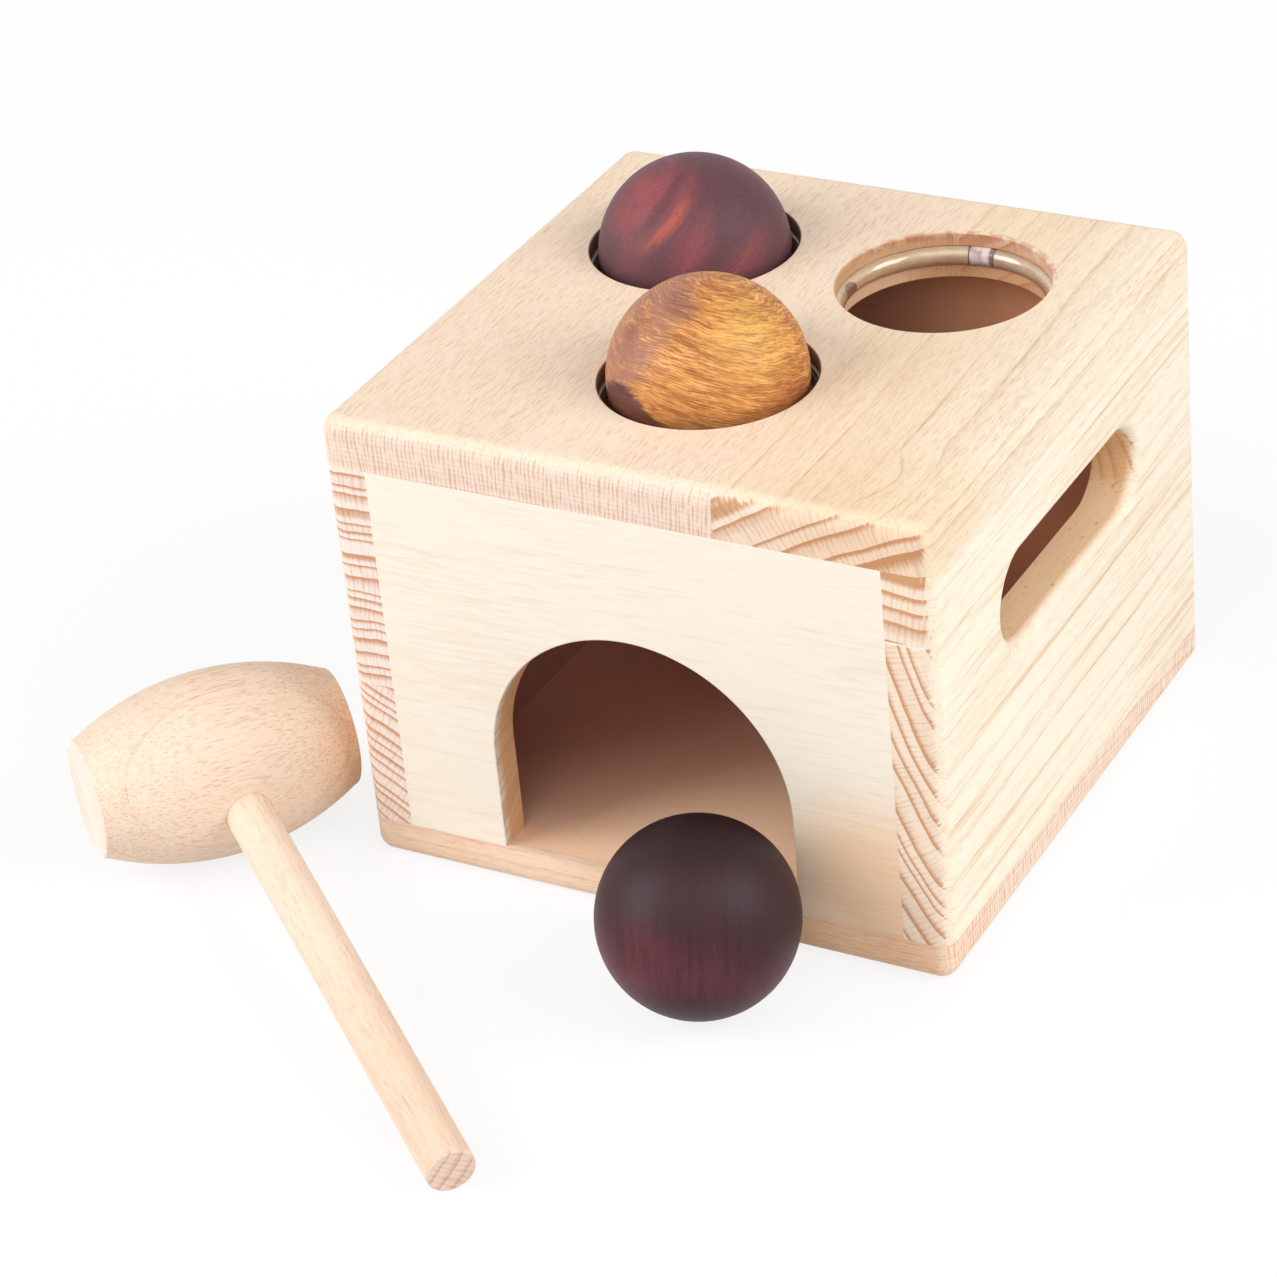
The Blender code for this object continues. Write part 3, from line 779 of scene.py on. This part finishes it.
CREAM = dict(early=(1.0, 0.90, 0.735), dark=(0.76, 0.47, 0.23), end_early=(0.96, 0.79, 0.625),
             end_dark=(0.66, 0.34, 0.17), line=0.34, shade=0.12, streak=0.5, streak_size=(1.6, 60.0),
             thread=0.44, dash=0.22, end_line=1.0, wall=(1.0, 0.84, 0.64),
             wall_flat=(0.93, 0.66, 0.41), pits=0.55)
PALE = dict(early=(0.97, 0.88, 0.75), dark=(0.76, 0.52, 0.35), end_early=(0.92, 0.80, 0.65),
            end_dark=(0.75, 0.55, 0.40), dash=0.04, fibre=0.5, line=0.12, shade=0.05, streak=0.66,
            streak_size=(0.9, 11.0), sway=7.0, wall=(1.0, 0.80, 0.60), wall_flat=(0.80, 0.52, 0.33))
UP = (0, 0, 1)
# Tints of painted shade on the faces inside the box: the first for the deepest shade, the second for the
# lighter shade higher up.
PAINTED_SHADE_LOW = (0.50, 0.36, 0.35)
PAINTED_SHADE_HIGH = (0.86, 0.66, 0.58)

TOP_FINISH = beech("beech_top", ALONG_Y, [
    board_stave((-25, 0, 108), (0.02, 0, 1), 700, 1.15, line=0.05, shade=0.04, end_line=0.22,
                end_shade=0.0, end_ray=0.60, ray_gap=1.06, sway=1.0, early=(0.925, 0.745, 0.57),
                end_early=(0.94, 0.75, 0.61), end_dark=(0.60, 0.34, 0.25), dash=0.50, thread=0.06),
    board_stave((48, 0, 108), (-0.47, 0, 0.88), 148.6, 4.8, line=0.42, shade=0.10, sway=2.4,
                early=(0.92, 0.735, 0.53), end_early=(0.93, 0.75, 0.60), end_dark=(0.60, 0.31, 0.16),
                dash=0.36, thread=0.22, end_line=0.95),
# Painted shade on the top board's underside inside the box.
], seams=(23.6,), seam_axis=0, inside=(2, 103.3, 103.1, UP, 0, 1, PAINTED_SHADE_LOW, PAINTED_SHADE_LOW),
    torn=HOLE_CENTRES["back_right"], fading=(42, 73, (0.96, 0.84, 0.65)), curl=(62, -54, 113),
    # Browner wood toward the front right corner.
    browner_or_shaded=((66, -72, 106), 42, (0.97, 0.90, 0.81)),
    # Painted shade in the walls of the two holes that hold balls.
    shaded_holes=(HOLE_CENTRES["back_left"], HOLE_CENTRES["front"]))
RIGHT_FINISH = beech("beech_right", ALONG_Y, [
    board_stave((68, 0, 40), (-0.89, 0, -0.45), 206, 3.1, sway=2.6, **CREAM),
    board_stave((68, 0, 96), (0.1, 0, 1), 200, 3.9, sway=2.0, glue=True, **CREAM),
# Painted shade on the right side's inner face: darker low down, lighter higher up.
], seams=(85.7,), seam_axis=2, inside=(0, 62.45, 62.3, UP, 50, 84, PAINTED_SHADE_LOW, PAINTED_SHADE_HIGH))
LEFT_FINISH = beech("beech_left", ALONG_Y, [
    board_stave((-68, 0, 30), (0.45, 0, 0.89), 130, 2.7, sway=3.0, end_early=(0.95, 0.82, 0.74)),
    board_stave((-68, 0, 80), (-0.05, 0, 1), 160, 2.9, sway=5.0, end_early=(0.95, 0.82, 0.74)),
], seams=(46.7,), seam_axis=2,
    # Painted shade on the left side's inner face: darker low down, lighter higher up.
    inside=(0, 62.45, 62.3, UP, 30, 84, (0.38, 0.255, 0.265), (0.62, 0.45, 0.42)))
BASE_FINISH = beech("beech_base", ALONG_X, [
    board_stave((0, 0, 5), (0, 0.05, 1), 500, 2.4, early=(0.98, 0.73, 0.54), dark=(0.70, 0.40, 0.25),
                line=0.3, sway=1.6, streak=0.7, end_line=0.24, end_shade=0.08, end_ray=0.6,
                end_early=(0.99, 0.80, 0.64), end_dark=(0.66, 0.38, 0.24),
                wall=(1.0, 0.94, 0.90), wall_flat=(0.99, 0.76, 0.60))
# Painted light and shade on the floor inside the box: brighter than the wood toward the front right,
# darker toward the back left.
], inside=(2, 9.5, 9.7, (-0.75, 0.66, 0), -47, 24, (1.18, 1.10, 0.97), (0.54, 0.33, 0.30)),
    # Painted shade of the purple ball: browner at the base's front right.
    browner_or_shaded=((50, -72, 5), 40, (1.0, 0.88, 0.76)))
FRONT_FINISH = beech("pale_front", ALONG_X, [
    board_stave((0, -68, 56), (0, -0.3, 0.95), 120, 4.0, **PALE)
# Painted shade on the inner face, darker low down; and outside, low on the right, a browner patch painted
# as the purple ball's shade.
], inside=(1, 64.36, 64.2, UP, 50, 84, PAINTED_SHADE_LOW, PAINTED_SHADE_HIGH), browner_or_shaded=((56, -72.6, 20), 34, (0.98, 0.76, 0.60)))
BACK_FINISH = beech("pale_back", ALONG_X, [
    board_stave((0, 68, 56), (0, 0.3, 0.95), 120, 4.0, **PALE)
# Painted shade and light on the back panel's inner face: dark to the left, brighter than the wood to the
# right.
], inside=(1, 64.36, 64.2, (1, 0, 0), -14, 42, (0.48, 0.34, 0.32), (1.15, 0.86, 0.76)))


def hole_cutter(name, centre):
    """The tool of a hole: a bore with eased rims and the groove for its tube."""
    top = BENCH_HEIGHT - RING_LEVEL
    bottom = TOP_UNDERSIDE - RING_LEVEL
    rise = math.sqrt(GROOVE_RADIUS ** 2 - (RING_RADIUS - HOLE_RADIUS) ** 2)
    opening = math.degrees(math.atan2(rise, HOLE_RADIUS - RING_RADIUS))
    rim = HOLE_RADIUS + HOLE_RIM
    outline = [(0, top + OVERRUN), (rim, top + OVERRUN)]
    outline += arc((rim, top - HOLE_RIM), HOLE_RIM, 90, 180, 5)
    outline += arc((RING_RADIUS, 0), GROOVE_RADIUS, opening, -opening, 16)
    outline += arc((rim, bottom + HOLE_RIM), HOLE_RIM, 180, 270, 5)
    outline += [(rim, bottom - OVERRUN), (0, bottom - OVERRUN)]
    cutter = turned(name, outline, 144)
    cutter.transform(Matrix.Translation((*centre, RING_LEVEL)))
    return cutter


def slot_loop(across, flare):
    """The slot's outline, a rectangle with round ends, at one place across a side board."""
    straight = (SLOT_LENGTH - SLOT_HEIGHT) / 2
    radius = SLOT_HEIGHT / 2 + flare
    points = arc((straight, SLOT_LEVEL), radius, -90, 90, 32)
    points += arc((-straight, SLOT_LEVEL), radius, 90, 270, 32)
    return [(across, along, up) for along, up in points]


def arch_loop(depth, flare):
    """The arch's outline, a half circle over straight legs, at one depth in the front panel."""
    radius = ARCH_RADIUS + flare
    points = arc((0, ARCH_SPRING), radius, 0, 180, 96)
    points += [(-radius, BASE_TOP - OVERRUN), (radius, BASE_TOP - OVERRUN)]
    return [(across, depth, up) for across, up in points]


def make_box():
    base = board("base_board", high=(None, None, BASE_TOP - SEAM))
    add_piece("bench_base", base, "box", "base_board", BASE_FINISH)

    top = board("top_board", low=(None, None, TOP_UNDERSIDE + SEAM))
    top = carved(top, *[hole_cutter(hole, centre) for hole, centre in HOLE_CENTRES.items()])
    add_piece("bench_top", top, "box", "top_board", TOP_FINISH)

    bottom = BASE_TOP + SEAM
    upper = TOP_UNDERSIDE - SEAM
    inner_side = HALF_WIDTH - SIDE_THICKNESS
    stations = easing(SLOT_EDGE, SIDE_THICKNESS, 8)
    for name, side, finish in (("left_side", -1, LEFT_FINISH), ("right_side", 1, RIGHT_FINISH)):
        low = (None if side < 0 else inner_side + SEAM, None, bottom)
        high = (-inner_side - SEAM if side < 0 else None, None, upper)
        loops = [slot_loop(side * (HALF_WIDTH - depth), flare) for depth, flare in stations]
        mesh = carved(board(name, low, high), lofted("slot", loops))
        add_piece("bench_" + name, mesh, "box", name, finish)

    inner_face = HALF_DEPTH - PANEL_THICKNESS
    half = inner_side - SEAM
    front = board("front_panel", (-half, None, bottom), (half, -inner_face, upper))
    loops = [arch_loop(-HALF_DEPTH + depth, flare)
             for depth, flare in easing(ARCH_EDGE, PANEL_THICKNESS, 4)]
    front = carved(front, lofted("arch", loops))
    add_piece("bench_front", front, "box", "front_panel", FRONT_FINISH)
    back = board("back_panel", (-half, inner_face, bottom), (half, None, upper))
    add_piece("bench_back", back, "box", "back_panel", BACK_FINISH)


def bent_bar(name, stations, endless):
    """A round bar round the Z axis through stations of (angle, bar radius)."""
    sides = 28
    loops = []
    for angle, radius in stations:
        loop = []
        for out, up in arc((RING_RADIUS, 0), radius, 0, 360 - 360 / sides, sides - 1):
            loop.append((out * math.cos(angle), out * math.sin(angle), up))
        loops.append(loop)
    return lofted(name, loops, endless)


def make_rings():
    tube_look = tube_finish("clear_tube", HOLE_CENTRES["back_right"])
    joiner_look = joiner_finish("clear_joiner")
    half_open = (COLLAR_LENGTH / 2 + COLLAR_GAP) / RING_RADIUS
    steps = 150
    whole = 2 * math.pi - 2 * half_open
    turns = [JOINER_PLACE + half_open + whole * i / steps for i in range(steps + 1)]
    tube = [(turn, TUBE_RADIUS) for turn in turns] + [(turn, TUBE_BORE) for turn in reversed(turns)]
    collar = COLLAR_LENGTH / 2
    half = [(collar + SPIGOT_LENGTH * (1 - i / 5), SPIGOT_RADIUS) for i in range(6)]
    half += [(collar - COLLAR_ROUND + x, TUBE_RADIUS - COLLAR_ROUND + y)
             for x, y in arc((0, 0), COLLAR_ROUND, 0, 90, 5)]
    half += [(collar * 0.4, TUBE_RADIUS)]
    profile = half + [(-length, radius) for length, radius in reversed(half)]
    joiner = [(JOINER_PLACE + length / RING_RADIUS, radius) for length, radius in profile]
    for hole, centre in HOLE_CENTRES.items():
        place = Matrix.Translation((*centre, RING_LEVEL))
        add_piece("tube_" + hole, bent_bar("tube_" + hole, tube, True), "box", "ring_" + hole,
                  tube_look, place)
        add_piece("plug_" + hole, bent_bar("plug_" + hole, joiner, False), "box", "joiner_" + hole,
                  joiner_look, place)


# ---------------------------------------------------------------- balls

def ball_mesh(name, radius, seed):
    """A turned and sanded ball, out of round by a few hundredths of a millimetre."""
    bm = bmesh.new()
    bmesh.ops.create_icosphere(bm, subdivisions=6, radius=radius)
    for vert in bm.verts:
        x, y, z = vert.co / radius
        swell = math.sin(3 * x + seed) * math.sin(2.5 * y + 2 * seed) * math.sin(2.8 * z + 3 * seed)
        vert.co *= 1 - (1 - swell) * 0.03 * MM / radius
    return mesh_from(bm, name)


def make_balls():
    finishes = {"red": red_wood, "golden": golden_wood, "purple": purple_wood}
    for seed, (name, finish) in enumerate(finishes.items()):
        low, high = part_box("ball_" + name)
        mesh = ball_mesh("ball_" + name, (high.z - low.z) / 2, seed + 1)
        centre = (low + high) / 2
        add_piece("turned_ball_" + name, mesh, name + "_ball", "ball_" + name,
                  finish(centre), Matrix.Translation(centre))


# ---------------------------------------------------------------- mallet

def head_outline():
    """Half the outline of the barrel: flat ends, rounded rims and one long swelling arc."""
    half = HEAD_LENGTH / 2
    shoulder = half - HEAD_RIM
    swell = HEAD_RADIUS - HEAD_END_RADIUS
    bulge = (shoulder ** 2 + swell ** 2) / (2 * swell)
    spread = math.degrees(math.asin(shoulder / bulge))
    rim = HEAD_END_RADIUS - HEAD_RIM
    outline = [(0, half), (rim * 0.5, half)] + arc((rim, shoulder), HEAD_RIM, 90, 0, 6)
    outline += arc((HEAD_RADIUS - bulge, 0), bulge, spread, -spread, 48)[1:-1]
    return outline + arc((rim, -shoulder), HEAD_RIM, 0, -90, 6) + [(rim * 0.5, -half), (0, -half)]


def handle_outline():
    """Half the outline of the handle, from its end in the head to its chamfered free end."""
    shank = HANDLE_RADIUS - HANDLE_CHAMFER
    outer = -HANDLE_REACH
    return [(0, HANDLE_PAST_AXIS), (shank, HANDLE_PAST_AXIS),
            (HANDLE_RADIUS, HANDLE_PAST_AXIS - HANDLE_CHAMFER),
            (HANDLE_RADIUS, outer + HANDLE_CHAMFER), (shank, outer), (0, outer)]


def make_mallet():
    """The mallet lies on its head and on the end of its handle, beside the box."""
    half_across = HEAD_LENGTH / 2 * math.cos(MALLET_TURN) + HEAD_END_RADIUS * math.sin(MALLET_TURN)
    centre = Vector((-HALF_WIDTH - MALLET_BOX_GAP - half_across, -HALF_DEPTH - MALLET_FORWARD,
                     HEAD_RADIUS))
    slope = math.asin((HEAD_RADIUS - HANDLE_RADIUS) / HANDLE_REACH)
    place = (Matrix.Translation(centre) @ Matrix.Rotation(MALLET_TURN, 4, 'Z')
             @ Matrix.Rotation(slope - math.pi / 2, 4, 'X'))
    lay = Matrix.Rotation(math.pi / 2, 4, 'Y')
    head = turned("mallet_head", head_outline(), 160)
    wide = HANDLE_RADIUS + HANDLE_FIT
    deep = HANDLE_PAST_AXIS + HANDLE_FIT
    out = -HEAD_RADIUS - OVERRUN
    bore = turned("bore", [(0, deep), (wide, deep), (wide, out), (0, out)], 96)
    bore.transform(lay.inverted() @ Matrix.Translation((HANDLE_OFF_CENTRE, 0, 0)))
    head = carved(head, bore)
    turn = place.to_3x3()
    middle = centre / MM
    toward_hand = Vector((0.65, -0.585, 0.39))
    right_rim = middle + turn @ Vector((31, 0, 0)) + Vector((9, -8, 0))
    head_finish = beech("beech_head", turn @ Vector((1, 0.02, 0.02)), [
        board_stave(middle, toward_hand, 30.8, 7.0, early=(0.96, 0.76, 0.59), dark=(0.68, 0.41, 0.27),
                    sway=1.6, line=0.24, shade=0.05, dash=0.50, fibre=1.15, streak=0.5,
                    streak_size=(1.0, 16.0), end_line=0.15, end_shade=0.1, end_ray=0.12,
                    end_early=(0.97, 0.82, 0.70), end_dark=(0.80, 0.55, 0.42), turning=0.0)
    # Painted shade: browner at the head's right rim.
    ], browner_or_shaded=(right_rim, 20, (0.96, 0.83, 0.71)))
    add_piece("barrel_head", head, "mallet", "mallet_head", head_finish, place @ lay)
    free_end = middle + turn @ Vector((0, 0, -HANDLE_REACH / MM))
    handle_finish = beech("beech_handle", turn @ Vector((0.0, 0.02, 1)), [
        board_stave(middle, turn @ Vector((1, 0.6, 0)), 60, 2.6, early=(0.935, 0.75, 0.59),
                    dark=(0.70, 0.42, 0.27), line=0.16, shade=0.10, dash=0.36, fibre=1.1, streak=0.6,
                    streak_size=(2.4, 30.0), end_line=0.4, end_shade=0.25,
                    end_early=(0.89, 0.72, 0.61), end_dark=(0.55, 0.33, 0.26), turning=0.0)
    # Browner toward the handle's free end.
    ], browner_or_shaded=(free_end, 95, (0.98, 0.91, 0.87)))
    add_piece("round_handle", turned("mallet_handle", handle_outline(), 96), "mallet", "mallet_handle",
              handle_finish, place @ Matrix.Translation((HANDLE_OFF_CENTRE, 0, 0)))


# ---------------------------------------------------------------- stage, light and camera

def seen_rays(make):
    """1 for what the camera sees, straight or in a gloss or through something clear."""
    rays = make.node("ShaderNodeLightPath", {}, ()).outlet.node.outputs
    seen = Socket(make, rays["Is Camera Ray"]) + Socket(make, rays["Is Glossy Ray"])
    return (seen + Socket(make, rays["Is Transmission Ray"])).maths("MINIMUM", 1.0)


def make_stage():
    """A white floor that keeps the shadows and shows white to the camera, and a white world."""
    bm = bmesh.new()
    bmesh.ops.create_grid(bm, x_segments=1, y_segments=1, size=FLOOR_SIZE)
    floor = bpy.data.objects.new("floor", mesh_from(bm, "floor"))
    floor.location.z = -FLOOR_DROP
    bpy.context.scene.collection.objects.link(floor)
    make = new_finish("white_floor")
    seen = seen_rays(make)
    tint = make.mix(seen, (0.80, 0.80, 0.80), (1.0, 1.0, 1.0))
    diffuse = make.node("ShaderNodeBsdfDiffuse", {}, {"Color": tint})
    glow = make.node("ShaderNodeEmission", {}, {"Strength": 1.0})
    far = make.own_place().length().between(0.35, 1.2)
    make.end("ShaderNodeOutputMaterial",
             make.node("ShaderNodeMixShader", {}, (seen * (far * 0.18 + 0.82), diffuse, glow)))
    floor.data.materials.append(make.owner)

    world = bpy.data.worlds.new("studio")
    bpy.context.scene.world = world
    make = Finish(world)
    around, white = (
        make.node("ShaderNodeBackground", {}, {"Color": rgba(colour), "Strength": strength})
        for colour, strength in (((0.97, 0.97, 1.0), AMBIENT), ((1.0, 1.0, 1.0), 1.0)))
    make.end("ShaderNodeOutputWorld",
             make.node("ShaderNodeMixShader", {}, (seen_rays(make), around, white)))


def make_lights():
    """Square lamps, each from a direction, at a distance, of a size and with a level."""
    for name, direction, distance, size, level in LIGHTS:
        data = bpy.data.lights.new(name, 'AREA')
        data.shape = 'SQUARE'
        data.size = size
        data.energy = math.pi ** 2 * distance ** 2 * level
        lamp = bpy.data.objects.new(name, data)
        away = Vector(direction).normalized()
        lamp.location = away * distance + Vector((0, 0, 0.05))
        lamp.rotation_euler = away.to_track_quat('Z', 'Y').to_euler()
        lamp.visible_camera = False
        bpy.context.scene.collection.objects.link(lamp)


def make_camera():
    """The photograph's view, from in front, to the right and above, turned a little about its axis."""
    azimuth, elevation, roll = (math.radians(a) for a in CAMERA_ANGLES)
    back = Vector((math.sin(azimuth) * math.cos(elevation), -math.cos(azimuth) * math.cos(elevation),
                   math.sin(elevation)))
    level_right = Vector((math.cos(azimuth), math.sin(azimuth), 0))
    level_up = back.cross(level_right)
    right = level_right * math.cos(roll) + level_up * math.sin(roll)
    up = level_up * math.cos(roll) - level_right * math.sin(roll)
    data = bpy.data.cameras.new("camera")
    data.sensor_width = SENSOR_WIDTH
    data.lens = SENSOR_WIDTH * FOCAL_LENGTH / PHOTO_SIDE
    data.clip_start = 0.05
    data.clip_end = 100.0
    camera = bpy.data.objects.new("camera", data)
    spot = Vector(CAMERA_TARGET) + back * CAMERA_DISTANCE
    camera.matrix_world = Matrix.Translation(spot) @ Matrix((right, up, back)).transposed().to_4x4()
    bpy.context.scene.collection.objects.link(camera)
    bpy.context.scene.camera = camera


make_box()
make_rings()
make_balls()
make_mallet()
make_stage()
make_lights()
make_camera()
bpy.context.scene.view_settings.view_transform = 'Standard'
